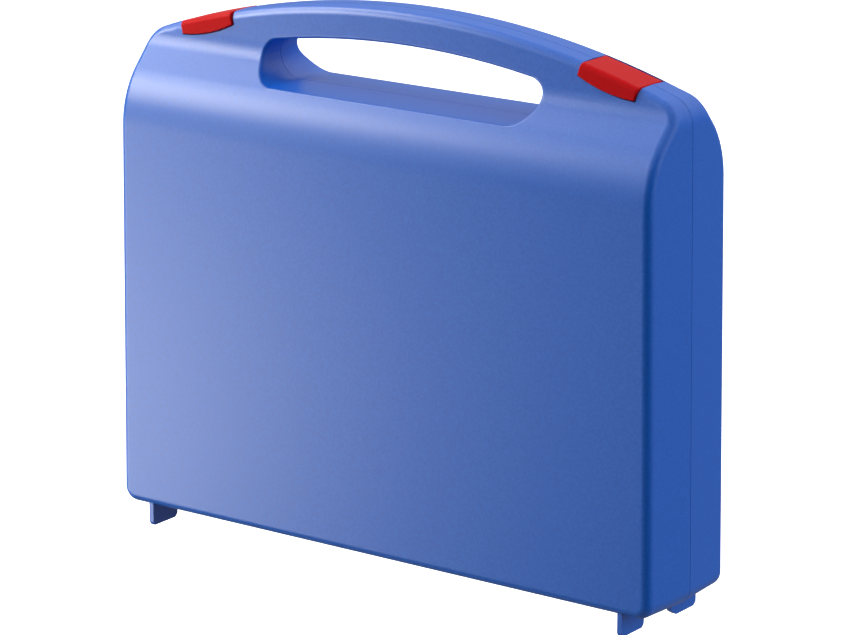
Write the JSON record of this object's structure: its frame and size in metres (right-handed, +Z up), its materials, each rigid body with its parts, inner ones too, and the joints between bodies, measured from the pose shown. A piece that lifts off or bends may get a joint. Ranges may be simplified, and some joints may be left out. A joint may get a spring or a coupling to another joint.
{
  "type": "socket wrench set in carrying case",
  "caption": "Moulded carrying case with arched handle, side latches and blade feet; opens on a bottom hinge to a foam insert holding sockets, extension bars and a ratchet.",
  "frame": {"origin": "middle of the footprint, on the plane the blade feet stand on", "axes": "+X to the right along the case, +Y to the back, +Z up; the front (lid) faces -Y"},
  "size_m": [0.2826, 0.059, 0.2455],
  "materials": {
    "case_blue": "satin",
    "latch_red": "satin",
    "tool_chrome": "polished",
    "satin_steel": "satin",
    "pin_steel": "satin",
    "insert_foam_black": "matte",
    "lid_foam_grey": "matte",
    "sleeve_rubber": "matte",
    "grip_rubber": "matte"
  },
  "bodies": {
    "case": {"rear_shell": "case_blue", "latch_pin_left": "pin_steel", "latch_pin_right": "pin_steel", "hinge_pin_left": "pin_steel", "hinge_pin_right": "pin_steel", "foam_insert": "insert_foam_black", "socket_22mm": "tool_chrome", "socket_21mm": "tool_chrome", "socket_19mm": "tool_chrome", "socket_18mm": "tool_chrome", "socket_17mm": "tool_chrome", "socket_16mm": "tool_chrome", "socket_15mm": "tool_chrome", "socket_14mm": "tool_chrome", "socket_13mm": "tool_chrome", "socket_12mm": "tool_chrome", "socket_11mm": "tool_chrome", "socket_10mm": "tool_chrome", "socket_09mm": "tool_chrome", "socket_08mm": "tool_chrome", "extension_long": "tool_chrome", "extension_long_ball": "pin_steel", "extension_short": "tool_chrome", "extension_short_ball": "pin_steel", "spark_plug_socket_16mm": "tool_chrome", "plug_sleeve_16mm": "sleeve_rubber", "spark_plug_socket_21mm": "tool_chrome", "plug_sleeve_21mm": "sleeve_rubber", "ratchet_body": "tool_chrome", "ratchet_grip": "grip_rubber", "ratchet_cover": "satin_steel", "cover_screws": "pin_steel", "pawl_pin": "pin_steel", "pawl_spring": "pin_steel"},
    "lid": {"front_shell": "case_blue", "lid_foam": "lid_foam_grey"},
    "latch_left": {"latch_left": "latch_red"},
    "latch_right": {"latch_right": "latch_red"},
    "ratchet_drive": {"drive_gear": "tool_chrome", "drive_ball": "pin_steel"},
    "release_button": {"release_button": "satin_steel"},
    "reversing_lever": {"reversing_lever": "satin_steel"},
    "pawl": {"pawl": "pin_steel"}
  },
  "joints": [
    {"name": "lid_hinge", "type": "hinge", "parent": "case", "child": "lid", "pos_m": [0, 0.001, 0.0049], "axis": [1, 0, 0], "range_deg": [0, 110]},
    {"name": "latch_left_pivot", "type": "hinge", "parent": "case", "child": "latch_left", "pos_m": [-0.10406, 0.008, 0.22908], "axis": [-0.9668, 0, -0.2556], "range_deg": [0, 90]},
    {"name": "latch_right_pivot", "type": "hinge", "parent": "case", "child": "latch_right", "pos_m": [0.10406, 0.008, 0.22908], "axis": [-0.9668, 0, 0.2556], "range_deg": [0, 90]},
    {"name": "drive_turn", "type": "hinge", "parent": "case", "child": "ratchet_drive", "pos_m": [-0.096, 0.0058, 0.166], "axis": [0, 1, 0], "continuous": true},
    {"name": "button_press", "type": "slide", "parent": "ratchet_drive", "child": "release_button", "axis": [0, 1, 0], "range_m": [0, 0.002], "stiffness_N_per_m": 150},
    {"name": "lever_turn", "type": "hinge", "parent": "case", "child": "reversing_lever", "pos_m": [-0.0795, -0.0027, 0.166], "axis": [0, 1, 0], "range_deg": [-18, 18]},
    {"name": "pawl_turn", "type": "hinge", "parent": "case", "child": "pawl", "pos_m": [-0.0795, 0.0056, 0.166], "axis": [0, 1, 0], "range_deg": [-6.1, 6.1]}
  ],
  "couplings": [
    {"joint": "pawl_turn", "follows": "lever_turn", "ratio": 0.3333}
  ]
}
